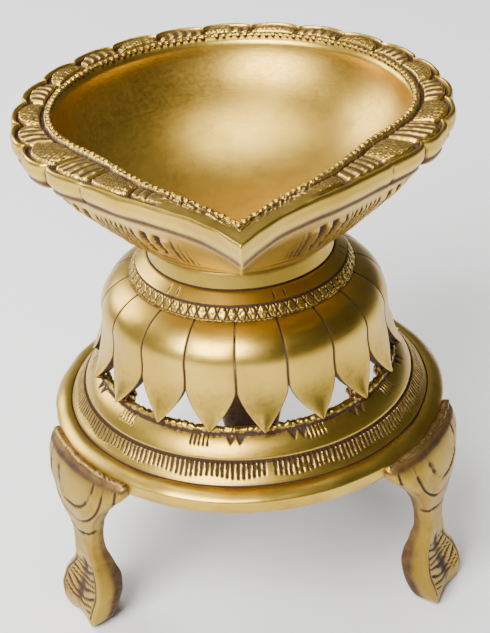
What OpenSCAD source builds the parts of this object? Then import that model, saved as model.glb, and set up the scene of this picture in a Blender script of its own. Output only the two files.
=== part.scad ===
// Three-legged brass diya: a pointed oil bowl that unscrews from a pierced lotus stand.
// Millimetres, +Z up. The origin is on the floor, under the middle of the footprint.

/* [Legs] */
// Height of the ring's underside above the floor
leg_h = 45; // [36:1:54]
// Width of a leg where it meets the ring
shoulder_w = 33; // [28:1:42]
// Width of a leg at its narrow ankle
ankle_w = 7.6; // [6:0.2:12]
// Width of the spread foot
foot_w = 16.5; // [12:0.5:22]
// Thickness of a leg, front to back
leg_t = 4.8; // [3.6:0.1:7]
// How far the knee swells beyond the ring's lower edge
knee_out = 5.4; // [3:0.1:9]

/* [Base ring] */
// Radius of the ring's lower edge
ring_r = 48.6; // [42:0.1:60]
// Height of the ring from its underside to the top of its lip
ring_h = 15.9; // [13:0.1:20]
// Thickness of the ring's cast wall
ring_wall = 2.8; // [2:0.1:4]
// Radial width of the stepped part, from lower edge to the middle of the lip
ring_w = 12.6; // [10:0.1:16]
// Radius of the rounded lip
lip_r = 1.1; // [0.7:0.1:1.6]

/* [Lotus dome] */
// Height of the dome from the ring's lip to the collar
dome_h = 23.3; // [18:0.1:30]
// Thickness of the dome's wall
dome_wall = 2.5; // [1.8:0.1:3.2]
// Number of petals round the dome
petals = 18; // [12:1:24]
// How far up the dome the pierced gaps between petals reach
gap_h = 9.2; // [5:0.1:12]
// How far the petal tips flare beyond the lip's middle
tip_flare = 2.8; // [1.5:0.1:4]
// Width of the groove between two petals
groove_w = 0.7; // [0.4:0.1:1.2]
// Radius of the braze pegs that stand behind some petals
peg_r = 1.3; // [0.9:0.1:1.8]

/* [Collar] */
// Radius of the collar where it sits on the dome
collar_r = 27.6; // [24:0.1:31]
// Height of the collar
collar_h = 9.8; // [8:0.1:13]
// Radius of the collar's top edge
collar_top_r = 21.8; // [19:0.1:24]

/* [Screw] */
// Radius of the threaded stud
stud_r = 4; // [3:0.5:6]
// Radial clearance between the stud and its bush
thread_clear = 0.05; // [0.02:0.01:0.1]
// Wall of the bush that the stud screws into
bush_wall = 3.5; // [2.5:0.1:5]
// Length of thread held by the bush when the bowl is home
thread_grip = 10; // [8:0.5:12]
// Thickness of the washer between collar and bowl
washer_t = 1.2; // [0.8:0.1:2]
// Radius of that washer
washer_r = 19; // [14:0.5:20]

/* [Bowl] */
// Radius of the rim's round part
bowl_r = 52; // [44:0.5:60]
// Height of the bowl from its foot to its rim
bowl_h = 29.8; // [25:0.1:36]
// Radius of the bowl's foot
bowl_foot_r = 24; // [20.5:0.5:27]
// How far the spout reaches beyond the round part
spout_out = 18; // [12:0.5:22]
// How far the round part sits behind the stand's axis
bowl_back = 4; // [2:0.5:6]
// Width of the carved rim at the sides
rim_w = 9; // [7:0.5:11]
// Height of the rim's upright edge
rim_h = 6.4; // [5:0.1:8]
// Thickness of the metal under the middle of the bowl
floor_t = 4; // [3.2:0.1:6]
// Number of carved petals round the rim
rim_petals = 25; // [21:2:29]
// Depth of the scallops round the rim
scallop = 0.9; // [0.4:0.1:1.4]

/* [Hidden] */
$fn = 96;

// Heights of the joints between pieces, from the floor up
lip_top_z = leg_h + ring_h;
dome_top_z = lip_top_z + dome_h;
collar_top_z = dome_top_z + collar_h;
bowl_foot_z = collar_top_z + washer_t;
rim_z = bowl_foot_z + bowl_h;

lip_mid_r = ring_r - ring_w;
knee_r = ring_r + knee_out;
bush_r = stud_r + bush_wall;
bush_flange_r = bush_r + 4;
bush_flange_t = 2;
crown_t = 3;
hole_clear = 0.4;
stud_sink = 2;
tip_flat = 0.9;
groove_deep = 0.8;
rim_ledge = 4.6;
foot_toe = 7.4;
peg_h = 4.6;
// Turn of the petal nearest the spout
first_petal = -85;

// The spout points along -Y, and the footprint's middle is half way between spout and rear leg
spout_reach = bowl_r + spout_out - bowl_back;
rear_reach = max(bowl_r + bowl_back + 0.4 * scallop, knee_r, ring_r + foot_toe);
axis_y = (spout_reach - rear_reach) / 2;
leg_angles = [213, 328, 90];

// A cubic curve from a to d, drawn towards b and then c
function bend(a, b, c, d, steps = 10) = [
    for (i = [0:steps]) let (t = i / steps, s = 1 - t)
        s * s * s * a + 3 * s * s * t * b + 3 * s * t * t * c + t * t * t * d
];

// A curve's points moved sideways by d, to the right of its direction
function beside(points, d) = [
    for (i = [0:len(points) - 1])
        let (
            a = points[max(i - 1, 0)],
            b = points[min(i + 1, len(points) - 1)],
            along = (b - a) / norm(b - a)
        )
        points[i] + d * [along[1], -along[0]]
];

// Curves joined end to end, with the point they share kept once
function joined(curves) = let (all = [for (curve = curves) each curve]) [
    for (i = [0:len(all) - 1]) if (i == 0 || norm(all[i] - all[max(i - 1, 0)]) > 0.001) all[i]
];

function reversed(points) = [for (i = [len(points) - 1:-1:0]) points[i]];

// Everything is drawn round the stand's axis and moved so that the footprint is centred
module on_axis() {
    translate([0, axis_y, 0]) children();
}

// ---- Base ring ----

crease = [ring_r + 0.5, leg_h + 0.22 * ring_h];
groove = [ring_r - 3.4, leg_h + 0.32 * ring_h];
step = [ring_r - 6.9, leg_h + 0.58 * ring_h];
lip_foot = [lip_mid_r + lip_r, lip_top_z - 1.7 * lip_r];
lip_mid = [lip_mid_r, lip_top_z - lip_r];

// Outer edge of the ring's section, from its lower edge up and over the rounded lip
function ring_skin() = concat(
    [[ring_r, leg_h]],
    bend(crease, crease + [-0.5, 0.8], groove + [1.4, 0.5], groove, 6),
    bend(groove + [0, 0.3], groove + [-1.6, 1], step + [0.9, -1.6], step, 5),
    bend(step + [-0.3, 0], step + [-1.4, 2.2], lip_foot + [1.8, -1], lip_foot, 5),
    [for (a = [0:20:180]) lip_mid + lip_r * [cos(a), sin(a)]]
);

module base_ring() {
    under_groove = groove[1] - ring_wall;
    color("darkgoldenrod") on_axis() rotate_extrude() polygon(concat(
        ring_skin(),
        [
            [lip_mid_r - lip_r, lip_foot[1] - ring_wall],
            step - ring_wall * [0.9, 0.5],
            [groove[0] - 0.4 * ring_wall, under_groove],
            [ring_r - ring_wall, under_groove],
            [ring_r - ring_wall, leg_h]
        ]
    ));
}

// ---- Lotus dome ----

belly = [lip_mid_r - 0.7, dome_top_z - 0.4 * dome_h];
tip = [lip_mid_r + tip_flare, lip_top_z];

// Outer curve of the dome's section, from the collar down to the petal tips
function dome_skin() = concat(
    bend([collar_r, dome_top_z], [collar_r + 3.8, dome_top_z - 1.2], belly + [0.2, 4.6], belly, 9),
    bend(belly + [-0.02, -0.6], belly + [-0.2, -4], tip + [-2.6, 6.5], tip, 8)
);

module dome_shell() {
    skin = dome_skin();
    inner = beside(skin, dome_wall);
    rotate_extrude() polygon(concat(
        [[bush_r, dome_top_z]],
        skin,
        [[lip_mid_r, lip_top_z]],
        reversed([for (p = inner) if (p[1] > lip_top_z + 0.4 && p[1] < dome_top_z - crown_t) p]),
        [[collar_r - 3, dome_top_z - crown_t], [bush_r, dome_top_z - crown_t]]
    ));
}

// Pointed-arch opening between two petals, standing on the lip
module petal_gap() {
    half = PI * tip[0] / petals - tip_flat / 2;
    side = [for (i = [0:6]) let (t = i / 6) [half * pow(1 - t, 1.5), t * gap_h]];
    polygon(concat([[-half, -1], [half, -1]], side, reversed([for (p = side) [-p[0], p[1]]])));
}

// Thin cut that parts two petals above their gap
module petal_groove() {
    skin = dome_skin();
    cut = [for (p = skin) if (p[1] > lip_top_z + gap_h - 1) p];
    turn = 180 * groove_w / (PI * belly[0]);
    rotate([0, 0, -turn / 2]) rotate_extrude(angle = turn)
        polygon(concat(beside(cut, -0.5), reversed(beside(cut, groove_deep))));
}

module lotus_dome() {
    color("goldenrod") on_axis() difference() {
        dome_shell();
        for (i = [0:petals - 1]) rotate([0, 0, first_petal + (i + 0.5) * 360 / petals]) {
            petal_groove();
            translate([20, 0, lip_top_z]) rotate([90, 0, 90]) linear_extrude(height = 30) petal_gap();
        }
    }
}

// Pegs of braze metal behind every third petal, sunk into the lip below and the petal above
module petal_pegs() {
    sunk = 0.8;
    color("peru") on_axis() for (i = [0:3:petals - 1]) rotate([0, 0, first_petal + i * 360 / petals])
        translate([lip_mid_r - 0.9, 0, lip_mid[1] - sunk]) cylinder(r = peg_r, h = peg_h, $fn = 24);
}

// ---- Collar and screw ----

band_1 = [collar_r - 1.6, dome_top_z + 0.31 * collar_h];
band_2 = [collar_top_r + 1.4, dome_top_z + 0.56 * collar_h];
line = 0.35;

module neck_collar() {
    color("goldenrod") on_axis() rotate_extrude() polygon([
        [bush_r, dome_top_z],
        [collar_r, dome_top_z],
        [collar_r, dome_top_z + line],
        band_1,
        band_1 + [-line, line / 2],
        band_1 + [-line / 2, line],
        band_2,
        band_2 + [-2 * line, line / 2],
        band_2 + [-1.5 * line, line],
        [collar_top_r, collar_top_z - 2 * line],
        [collar_top_r - line, collar_top_z],
        [bush_r, collar_top_z]
    ]);
}

// Flanged bush, tapped for the stud, that clamps the collar to the dome's crown
module neck_bush() {
    barrel_z = dome_top_z - crown_t;
    color("peru") on_axis() difference() {
        union() {
            translate([0, 0, barrel_z]) cylinder(r = bush_r, h = collar_top_z - barrel_z);
            translate([0, 0, barrel_z - bush_flange_t]) cylinder(r = bush_flange_r, h = bush_flange_t);
        }
        translate([0, 0, barrel_z - bush_flange_t - 1])
            cylinder(r = stud_r + thread_clear, h = collar_top_z - barrel_z + bush_flange_t + 2);
    }
}

module seat_washer() {
    color("saddlebrown") on_axis() translate([0, 0, collar_top_z]) difference() {
        cylinder(r = washer_r, h = washer_t);
        translate([0, 0, -1]) cylinder(r = stud_r + hole_clear, h = washer_t + 2);
    }
}

// Screw fixed in the bowl's foot; its thread is left as a plain cylinder
module bowl_stud() {
    foot = collar_top_z - thread_grip;
    color("peru") on_axis() translate([0, 0, foot]) cylinder(r = stud_r, h = bowl_foot_z + stud_sink - foot);
}

// ---- Legs ----

seam_up = 3;
wall_lean = (crease[0] - ring_r) / (crease[1] - leg_h);
seam_r = ring_r + seam_up * wall_lean;
knee = [knee_r, leg_h - 8];
ankle = [ring_r + 2, 0.56 * leg_h];
toe = [ring_r + foot_toe, 5.3];
heel = [ring_r - 3.8, 12.2];
sole = [toe[0] - 6.4, toe[0] - 1.6];
leg_sweep = 54;

// Section of a leg through the middle: out over the knee, in at the ankle, out again to the toe
module leg_side() {
    half = [leg_t / 2, 0];
    back_knee = knee - [leg_t + 1, 0];
    polygon(joined([
        [[ring_r, leg_h], [seam_r, leg_h + seam_up]],
        bend([seam_r + 2.2, leg_h + seam_up], [knee_r - 1.4, leg_h + 2.2], knee + [0.2, 5], knee, 6),
        bend(knee, knee + [-0.3, -6], ankle + half + [-0.2, 5], ankle + half, 6),
        bend(ankle + half, ankle + half + [-0.2, -6], toe + [-1.4, 5], toe, 6),
        bend(toe, toe + [0, -2.6], [toe[0] - 0.3, 0.5], [sole[1], 0], 3),
        bend([sole[0], 0], [sole[0] - 3, 1.2], heel + [-0.1, -5], heel, 5),
        bend(heel, heel + [0.2, 5], ankle - half + [-0.8, -5], ankle - half, 6),
        bend(ankle - half, ankle - half + [0.6, 5], back_knee + [0.3, -5], back_knee, 6),
        bend(back_knee, back_knee + [-0.2, 4], [ring_r - 2.6, leg_h - 1.2], [ring_r - 4.4, leg_h], 4)
    ]));
}

// Outline of a leg seen from the front: broad shoulder, narrow ankle, spread foot
module leg_front() {
    shoulder = shoulder_w / 2;
    waist = ankle_w / 2;
    spread = foot_w / 2;
    cheek = [shoulder - 0.8, leg_h - 0.6];
    edge = joined([
        bend([spread * 0.3, -0.5], [spread * 0.8, 1], [spread + 0.2, 5], [spread, 9.5], 6),
        bend([spread, 9.5], [spread - 0.4, 14], [waist + 0.2, 17], [waist, ankle[1] - 1], 7),
        bend([waist, ankle[1] - 1], [waist, ankle[1] + 5.5], [shoulder / 2, knee[1] + 1], cheek, 8),
        [[shoulder, leg_h + seam_up + 1]]
    ]);
    polygon(concat(edge, reversed([for (p = edge) [-p[0], p[1]]])));
}

module leg(angle) {
    color("darkgoldenrod") on_axis() rotate([0, 0, angle]) intersection() {
        rotate([0, 0, -leg_sweep / 2]) rotate_extrude(angle = leg_sweep) leg_side();
        translate([ring_r - 12, 0, 0]) rotate([90, 0, 90]) linear_extrude(height = 24) leg_front();
    }
}

module leg_left() {
    leg(leg_angles[0]);
}

module leg_right() {
    leg(leg_angles[1]);
}

module leg_rear() {
    leg(leg_angles[2]);
}

// Beads of braze in the corner between each leg's top and the ring
module leg_braze() {
    bead = 1.4;
    sweep = 2 * asin(shoulder_w / 2 / seam_r) - 4;
    top = [seam_r + bead * wall_lean, leg_h + seam_up + bead];
    color("peru") on_axis() for (angle = leg_angles)
        rotate([0, 0, angle - sweep / 2]) rotate_extrude(angle = sweep)
            polygon([[seam_r, leg_h + seam_up], [seam_r + bead, leg_h + seam_up], top]);
}

// ---- Bowl ----

// Distance from the middle of the round part to the rim's outer edge, at t degrees from the spout
function rim(t) = bowl_r + spout_out * exp(-t / 9) - 2 * exp(-pow((t - 42) / 18, 2));

// One shallow lobe for each rim petal, fading out on the way to the spout
function lobes(t) = scallop * min(max((t - 40) / 20, 0), 1)
    * (abs(cos((180 - t) * rim_petals / 2)) - 0.6);

// The same distance for the inner edge of the rim
function mouth(t) = bowl_r - rim_w - 1.5 * cos(t) + (spout_out - 0.5) * exp(-t / 13)
    - 4.8 * exp(-pow((t - 52) / 24, 2));

// Share of the way from foot to rim that the underside has spread, at a share s of its height
function spread(s) = pow(s, 0.9) + 0.08 * sin(180 * s * s);

// Height of the inside above the floor, at a share p of the way out to the mouth
function inside_z(p) = rim_z - (bowl_h - floor_t) * pow(1 - pow(p, 2.3), 1 / 2.3);

function from_spout(i) = let (a = i * 360 / bowl_sides) min(a, 360 - a);
function out_to(r, i) = [r * sin(i * 360 / bowl_sides), -r * cos(i * 360 / bowl_sides)];

function foot_ring(r, z) = [for (i = [0:bowl_sides - 1]) [each out_to(r, i), z]];

function rim_ring(inset, z) = [
    for (i = [0:bowl_sides - 1])
        let (t = from_spout(i), p = out_to(rim(t) + lobes(t) - inset, i)) [p[0], p[1] + bowl_back, z]
];

function under_ring(s) = [
    for (i = [0:bowl_sides - 1])
        let (
            low = out_to(bowl_foot_r, i),
            high = out_to(rim(from_spout(i)) - rim_ledge, i) + [0, bowl_back],
            p = low + (high - low) * spread(s)
        )
        [p[0], p[1], bowl_foot_z + s * (bowl_h - rim_h)]
];

function inner_ring(p, z) = [
    for (i = [0:bowl_sides - 1])
        let (
            round_r = bowl_r - rim_w - 1,
            r = p * ((1 - p * p) * round_r + p * p * mouth(from_spout(i))),
            q = out_to(r, i)
        )
        [q[0], q[1] + bowl_back, z]
];

bowl_sides = 4 * rim_petals;

module oil_bowl() {
    hole = stud_r + 0.02;
    mouth_lift = 1.4;
    rings = concat(
        [foot_ring(hole, bowl_foot_z + stud_sink), foot_ring(hole, bowl_foot_z)],
        [for (s = [0, 0.12, 0.25, 0.4, 0.55, 0.7, 0.85, 1]) under_ring(s)],
        [rim_ring(1.2, rim_z - rim_h + 0.7), rim_ring(0, rim_z - rim_h / 2), rim_ring(0, rim_z - 0.8),
            rim_ring(0.8, rim_z)],
        [inner_ring(1, rim_z) + [for (i = [0:bowl_sides - 1]) [each out_to(mouth_lift, i), 0]]],
        [for (p = [1, 0.985, 0.95, 0.88, 0.78, 0.64, 0.46, 0.24]) inner_ring(p, inside_z(p))]
    );
    n = bowl_sides;
    last = len(rings) - 1;
    points = concat(
        [[0, 0, bowl_foot_z + stud_sink]],
        [for (ring = rings) each ring],
        [[0, bowl_back, bowl_foot_z + floor_t]]
    );
    faces = [
        for (j = [0:n - 1]) let (k = (j + 1) % n) each concat(
            [[0, 1 + j, 1 + k]],
            [for (i = [0:last - 1]) each [
                [1 + i * n + j, 1 + (i + 1) * n + j, 1 + (i + 1) * n + k],
                [1 + i * n + j, 1 + (i + 1) * n + k, 1 + i * n + k]
            ]],
            [[1 + last * n + j, len(points) - 1, 1 + last * n + k]]
        )
    ];
    color("goldenrod") on_axis() polyhedron(points = points, faces = faces);
}

base_ring();
lotus_dome();
petal_pegs();
neck_collar();
neck_bush();
leg_left();
leg_right();
leg_rear();
leg_braze();
seat_washer();
oil_bowl();
bowl_stud();
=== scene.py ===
"""Brass diya: a pointed oil bowl on a pierced lotus dome, a chased ring and three legs.

Sizes in the classes are millimetres. Every mesh is in metres, in the frame of the CAD model.
"""

import logging
import math
from dataclasses import dataclass
from enum import Enum
from typing import Iterable, Sequence

import bpy
import numpy as np
from mathutils import Matrix, Vector


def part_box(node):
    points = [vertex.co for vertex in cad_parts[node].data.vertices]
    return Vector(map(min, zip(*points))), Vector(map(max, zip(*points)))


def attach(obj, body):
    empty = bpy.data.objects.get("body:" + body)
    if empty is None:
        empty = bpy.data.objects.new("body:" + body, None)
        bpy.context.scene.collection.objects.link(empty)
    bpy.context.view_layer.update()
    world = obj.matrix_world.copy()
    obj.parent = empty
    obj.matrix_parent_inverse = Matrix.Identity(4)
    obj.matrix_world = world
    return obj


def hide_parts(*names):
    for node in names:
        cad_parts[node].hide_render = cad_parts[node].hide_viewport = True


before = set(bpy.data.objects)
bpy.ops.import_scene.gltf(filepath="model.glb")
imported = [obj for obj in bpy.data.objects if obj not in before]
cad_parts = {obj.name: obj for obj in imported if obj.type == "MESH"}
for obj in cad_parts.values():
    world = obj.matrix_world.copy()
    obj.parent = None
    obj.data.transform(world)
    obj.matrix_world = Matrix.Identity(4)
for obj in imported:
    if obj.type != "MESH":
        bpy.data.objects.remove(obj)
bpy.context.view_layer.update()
LOG = logging.getLogger("diya")

MM = 0.001
LAMP_MIDDLE = (0, 0, 0.08)
CURVE_GAIN = 5  # how much a hollow of one edge's length counts as patina
Point = tuple[float, float]
Array = np.ndarray

# The stand's axis, and the heights of the joints between pieces, in millimetres
WASHER_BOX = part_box("seat_washer")
AXIS_Y = (WASHER_BOX[0][1] + WASHER_BOX[1][1]) / 2 / MM
LIP_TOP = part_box("base_ring")[1][2] / MM
DOME_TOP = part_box("neck_collar")[0][2] / MM
COLLAR_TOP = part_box("neck_collar")[1][2] / MM
BOWL_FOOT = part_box("oil_bowl")[0][2] / MM
RIM_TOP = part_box("oil_bowl")[1][2] / MM


# ---- Curves and noise ----


def bend(a: Point, b: Point, c: Point, d: Point, steps: int) -> list[Point]:
    """Points on a cubic curve.

    Args:
        a: The first end.
        b: The point it leaves towards.
        c: The point it arrives from.
        d: The last end.
        steps: How many steps the curve is cut into.

    Returns:
        The steps + 1 points from a to d.
    """
    t = np.linspace(0, 1, steps + 1)[:, None]
    s = 1 - t
    p = s**3 * np.array(a) + 3 * s * s * t * np.array(b) + 3 * s * t * t * np.array(c) + t**3 * np.array(d)
    return [(float(x), float(y)) for x, y in p]


def even(points: Sequence[Point], pitch: float) -> list[Point]:
    """Re-spaces an open curve.

    Args:
        points: The curve's points.
        pitch: The longest step wanted along it.

    Returns:
        Points on the same curve at even steps, both ends kept.
    """
    p = np.array(points)
    along = np.concatenate([[0], np.cumsum(np.hypot(*np.diff(p, axis=0).T))])
    count = max(int(math.ceil(along[-1] / pitch)), 1)
    at = np.linspace(0, along[-1], count + 1)
    return [(float(np.interp(s, along, p[:, 0])), float(np.interp(s, along, p[:, 1]))) for s in at]


def chain(*curves: Sequence[Point]) -> list[Point]:
    """Joins curves end to end, and keeps a shared point once."""
    out: list[Point] = []
    for curve in curves:
        for p in curve:
            if not out or math.dist(p, out[-1]) > 1e-4:
                out.append(p)
    return out


def smooth(low: float, high: float, x: Array) -> Array:
    """Goes from 0 at low to 1 at high with soft ends; low may be the larger."""
    t = np.clip((x - low) / (high - low), 0, 1)
    return t * t * (3 - 2 * t)


def ridge(x: Array, width: float) -> Array:
    """A soft bump that is 1 where x is 0 and fades out at width on both sides."""
    return np.clip(1 - np.abs(x) / width, 0, 1) ** 1.5


def grain(points: Array, size: float, seed: int) -> Array:
    """Smooth random lumps, the same on each run.

    Args:
        points: Places in millimetres, one row each.
        size: The lumps' size in millimetres.
        seed: Which pattern.

    Returns:
        A value for each point, mostly between -1 and 1.
    """
    dice = np.random.RandomState(seed)
    total = np.zeros(len(points))
    for _ in range(22):
        way = dice.normal(size=3)
        way *= 2 * math.pi / size * dice.uniform(0.6, 1.5) / np.linalg.norm(way)
        total += np.sin(points @ way + dice.uniform(0, 2 * math.pi))
    return total / 4.0


def place(angle: Array | float, radius: Array, height: Array, centre: float = AXIS_Y) -> Array:
    """Points at an angle in radians from the spout's side, a radius and a height."""
    return np.stack([radius * np.sin(angle), centre - radius * np.cos(angle), height + 0 * angle], 1)


def bearing(co: Array, centre: float = AXIS_Y) -> Array:
    """The angle of each point from the spout's side, in radians."""
    return np.arctan2(co[:, 0], centre - co[:, 1])


def reach(co: Array) -> Array:
    """The distance of each point from the stand's axis."""
    return np.hypot(co[:, 0], co[:, 1] - AXIS_Y)


def swing(co: Array, degrees: Array | float, middle_y: float = AXIS_Y) -> Array:
    """Turns points about the stand's axis.

    Args:
        co: The points, which are not changed.
        degrees: How far they turn, as one angle or one for each point.
        middle_y: The y that counts as the axis in co.

    Returns:
        The turned points.
    """
    a = np.radians(degrees)
    x, y = co[:, 0], co[:, 1] - middle_y
    return np.stack([x * np.cos(a) - y * np.sin(a), AXIS_Y + x * np.sin(a) + y * np.cos(a), co[:, 2]], 1)


# ---- Work on one mesh ----


class Work:
    """A mesh object on the bench, with its points held as an array in millimetres."""

    def __init__(self, obj: bpy.types.Object) -> None:
        """Takes an object and reads its points."""
        self.obj = obj
        self.read()

    @property
    def mesh(self) -> bpy.types.Mesh:
        """The object's mesh."""
        return self.obj.data

    @staticmethod
    def clear() -> None:
        """Leaves edit mode and deselects everything."""
        if bpy.context.object and bpy.context.object.mode != "OBJECT":
            bpy.ops.object.mode_set(mode="OBJECT")
        bpy.ops.object.select_all(action="DESELECT")

    def hold(self) -> None:
        """Makes this the one selected and active object."""
        self.clear()
        self.obj.select_set(True)
        bpy.context.view_layer.objects.active = self.obj

    def read(self) -> None:
        """Reads the mesh's points into co."""
        flat = np.empty(len(self.mesh.vertices) * 3)
        self.mesh.vertices.foreach_get("co", flat)
        self.co = flat.reshape(-1, 3) / MM

    def write(self) -> None:
        """Writes co back to the mesh."""
        self.mesh.vertices.foreach_set("co", (self.co * MM).ravel())
        self.mesh.update()

    def edit(self, modes: tuple[bool, bool, bool] = (True, False, False)) -> None:
        """Opens the object in edit mode, with its own selection."""
        self.hold()
        bpy.context.tool_settings.mesh_select_mode = modes
        bpy.ops.object.mode_set(mode="EDIT")

    def leave(self) -> None:
        """Goes back to object mode and reads the points again."""
        bpy.ops.object.mode_set(mode="OBJECT")
        self.read()

    def select_edges(self, wanted: Array) -> None:
        """Selects these edges and no others, while in object mode."""
        self.mesh.polygons.foreach_set("select", np.zeros(len(self.mesh.polygons), dtype=bool))
        self.mesh.vertices.foreach_set("select", np.zeros(len(self.mesh.vertices), dtype=bool))
        self.mesh.edges.foreach_set("select", wanted)

    def edges(self) -> Array:
        """The two point numbers of every edge."""
        flat = np.empty(len(self.mesh.edges) * 2, dtype=np.int32)
        self.mesh.edges.foreach_get("vertices", flat)
        return flat.reshape(-1, 2)

    def normals(self) -> Array:
        """The outward normal at every point."""
        flat = np.empty(len(self.mesh.vertices) * 3)
        self.mesh.vertex_normals.foreach_get("vector", flat)
        return flat.reshape(-1, 3)

    def store(self, name: str, values: Array) -> None:
        """Keeps a number for every point under a name that materials can read."""
        layer = self.mesh.attributes.get(name) or self.mesh.attributes.new(name, "FLOAT", "POINT")
        layer.data.foreach_set("value", np.ascontiguousarray(values, dtype=np.float32))

    def stored(self, name: str) -> Array:
        """The numbers kept under a name."""
        values = np.empty(len(self.mesh.vertices), dtype=np.float32)
        self.mesh.attributes[name].data.foreach_get("value", values)
        return values.astype(float)

    def cut_edges(self, wanted: Array, cuts: int) -> None:
        """Divides these edges and the faces between them."""
        self.select_edges(wanted)
        self.edit((False, True, False))
        bpy.ops.mesh.subdivide(number_cuts=cuts)
        self.leave()

    def face_out(self) -> None:
        """Turns the faces outwards."""
        self.edit()
        bpy.ops.mesh.select_all(action="SELECT")
        bpy.ops.mesh.normals_make_consistent(inside=False)
        self.leave()

    def tidy(self) -> None:
        """Merges doubles, drops loose edges and turns the faces outwards."""
        self.edit()
        bpy.ops.mesh.select_all(action="SELECT")
        bpy.ops.mesh.remove_doubles(threshold=1e-7)
        bpy.ops.mesh.delete_loose(use_verts=True, use_edges=True, use_faces=False)
        self.leave()
        self.face_out()

    def sculpt(self, lift: Array) -> None:
        """Moves every point along its normal by its own distance in millimetres."""
        self.co += self.normals() * lift[:, None]
        self.write()

    def weather(self, dirt_and_shade: Array | float = 0.0, gain: float = 1.0, spread: int = 2) -> None:
        """Finds hollows and ridges, and keeps them for the finish as patina and painted shade, and as wear and
        a painted highlight.

        Args:
            dirt_and_shade: Patina that is there anyway, with any painted shade that the caller adds, from 0 to
                1.
            gain: How strongly hollows and ridges count.
            spread: How many times the values are softened.
        """
        pair = self.edges()
        count = len(self.co)
        a, b = pair[:, 0], pair[:, 1]
        near = np.maximum(np.bincount(a, minlength=count) + np.bincount(b, minlength=count), 1)

        def around(values: Array) -> Array:
            """Averages each point's neighbours."""
            total = np.bincount(a, values[b], minlength=count) + np.bincount(b, values[a], minlength=count)
            return total / near

        mean = np.stack([around(self.co[:, k]) for k in range(3)], 1)
        length = np.linalg.norm(self.co[a] - self.co[b], axis=1)
        step = (np.bincount(a, length, minlength=count) + np.bincount(b, length, minlength=count)) / near
        hollow = ((mean - self.co) * self.normals()).sum(1) / np.maximum(step, 1e-6)
        for _ in range(spread):
            hollow = 0.5 * hollow + 0.5 * around(hollow)
        depth = gain * CURVE_GAIN * hollow + dirt_and_shade
        self.store("patina_and_shade", np.clip(depth, 0, 1))
        self.store("wear_and_highlight", np.clip(-depth, 0, 1))

    def smooth_shade(self, angle: float | None = None) -> None:
        """Shades the faces smooth, up to an angle in degrees if one is given."""
        self.hold()
        if angle is None:
            bpy.ops.object.shade_smooth()
        else:
            bpy.ops.object.shade_smooth_by_angle(angle=math.radians(angle))

    def modify(self, kind: str, **settings: object) -> None:
        """Adds a modifier with these settings and applies it."""
        self.hold()
        modifier = self.obj.modifiers.new(kind.title(), kind)
        for name, value in settings.items():
            setattr(modifier, name, value)
        bpy.ops.object.modifier_apply(modifier=modifier.name)
        self.read()

    def copy(self, name: str) -> "Work":
        """A copy of the piece with its own mesh."""
        twin = self.obj.copy()
        twin.data = self.obj.data.copy()
        twin.name = name
        bpy.context.collection.objects.link(twin)
        return Work(twin)


def join(name: str, parts: Iterable[Work]) -> Work:
    """Joins several works into one.

    Args:
        name: The joined object's name.
        parts: The works, the first of which becomes the whole.

    Returns:
        The joined work.
    """
    parts = list(parts)
    Work.clear()
    for part in parts:
        part.obj.select_set(True)
    bpy.context.view_layer.objects.active = parts[0].obj
    bpy.ops.object.join()
    whole = Work(bpy.context.object)
    whole.obj.name = name
    return whole


def turn(name: str, section: Sequence[Point], steps: int, cuts: int, centre_y: float = AXIS_Y,
         closed: bool = True, sweep: float = 360.0, start: float = 0.0) -> Work:
    """Turns a section round an upright axis, as on a lathe.

    Args:
        name: The new object's name.
        section: The section's points, each a radius and a height in millimetres.
        steps: How many steps the spin takes.
        cuts: How many cuts are made between two steps.
        centre_y: Where the axis stands.
        closed: Whether the section's last point joins its first.
        sweep: How far round it goes, in degrees.
        start: The turn of its first section from the spout's side, in degrees.

    Returns:
        The turned piece. Its point attribute "row" numbers the section's points.
    """
    Work.clear()
    bpy.ops.mesh.primitive_circle_add(vertices=len(section), radius=0.01)
    work = Work(bpy.context.object)
    work.obj.name = work.mesh.name = name
    work.co = place(math.radians(start), *np.array(section).T, centre_y)
    work.write()
    work.store("row", np.arange(len(section)))
    if not closed:
        pair = work.edges()
        work.select_edges(np.abs(pair[:, 0] - pair[:, 1]) == len(section) - 1)
        work.edit((False, True, False))
        bpy.ops.mesh.delete(type="EDGE")
        work.leave()
    work.edit()
    bpy.ops.mesh.select_all(action="SELECT")
    bpy.ops.mesh.spin(steps=steps, angle=math.radians(sweep), center=(0, centre_y * MM, 0), axis=(0, 0, -1))
    work.leave()
    work.tidy()
    if cuts:
        row = work.stored("row")
        pair = work.edges()
        work.cut_edges(np.abs(row[pair[:, 0]] - row[pair[:, 1]]) < 0.25, cuts)
        work.store("row", np.round(work.stored("row")))
    return work


def true_up(work: Work, section: Sequence[Point]) -> tuple[Array, Array]:
    """Puts every point of a turned piece back on its true circle.

    Args:
        work: A piece from turn(), round the stand's axis.
        section: The section it was turned from.

    Returns:
        Each point's row number, and its turn from the spout's side in degrees.
    """
    row = work.stored("row")
    angle = bearing(work.co)
    number = np.arange(len(section))
    work.co = place(angle, *(np.interp(row, number, values) for values in np.array(section).T))
    work.write()
    return row, np.degrees(angle)


# ---- Finishes ----


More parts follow.
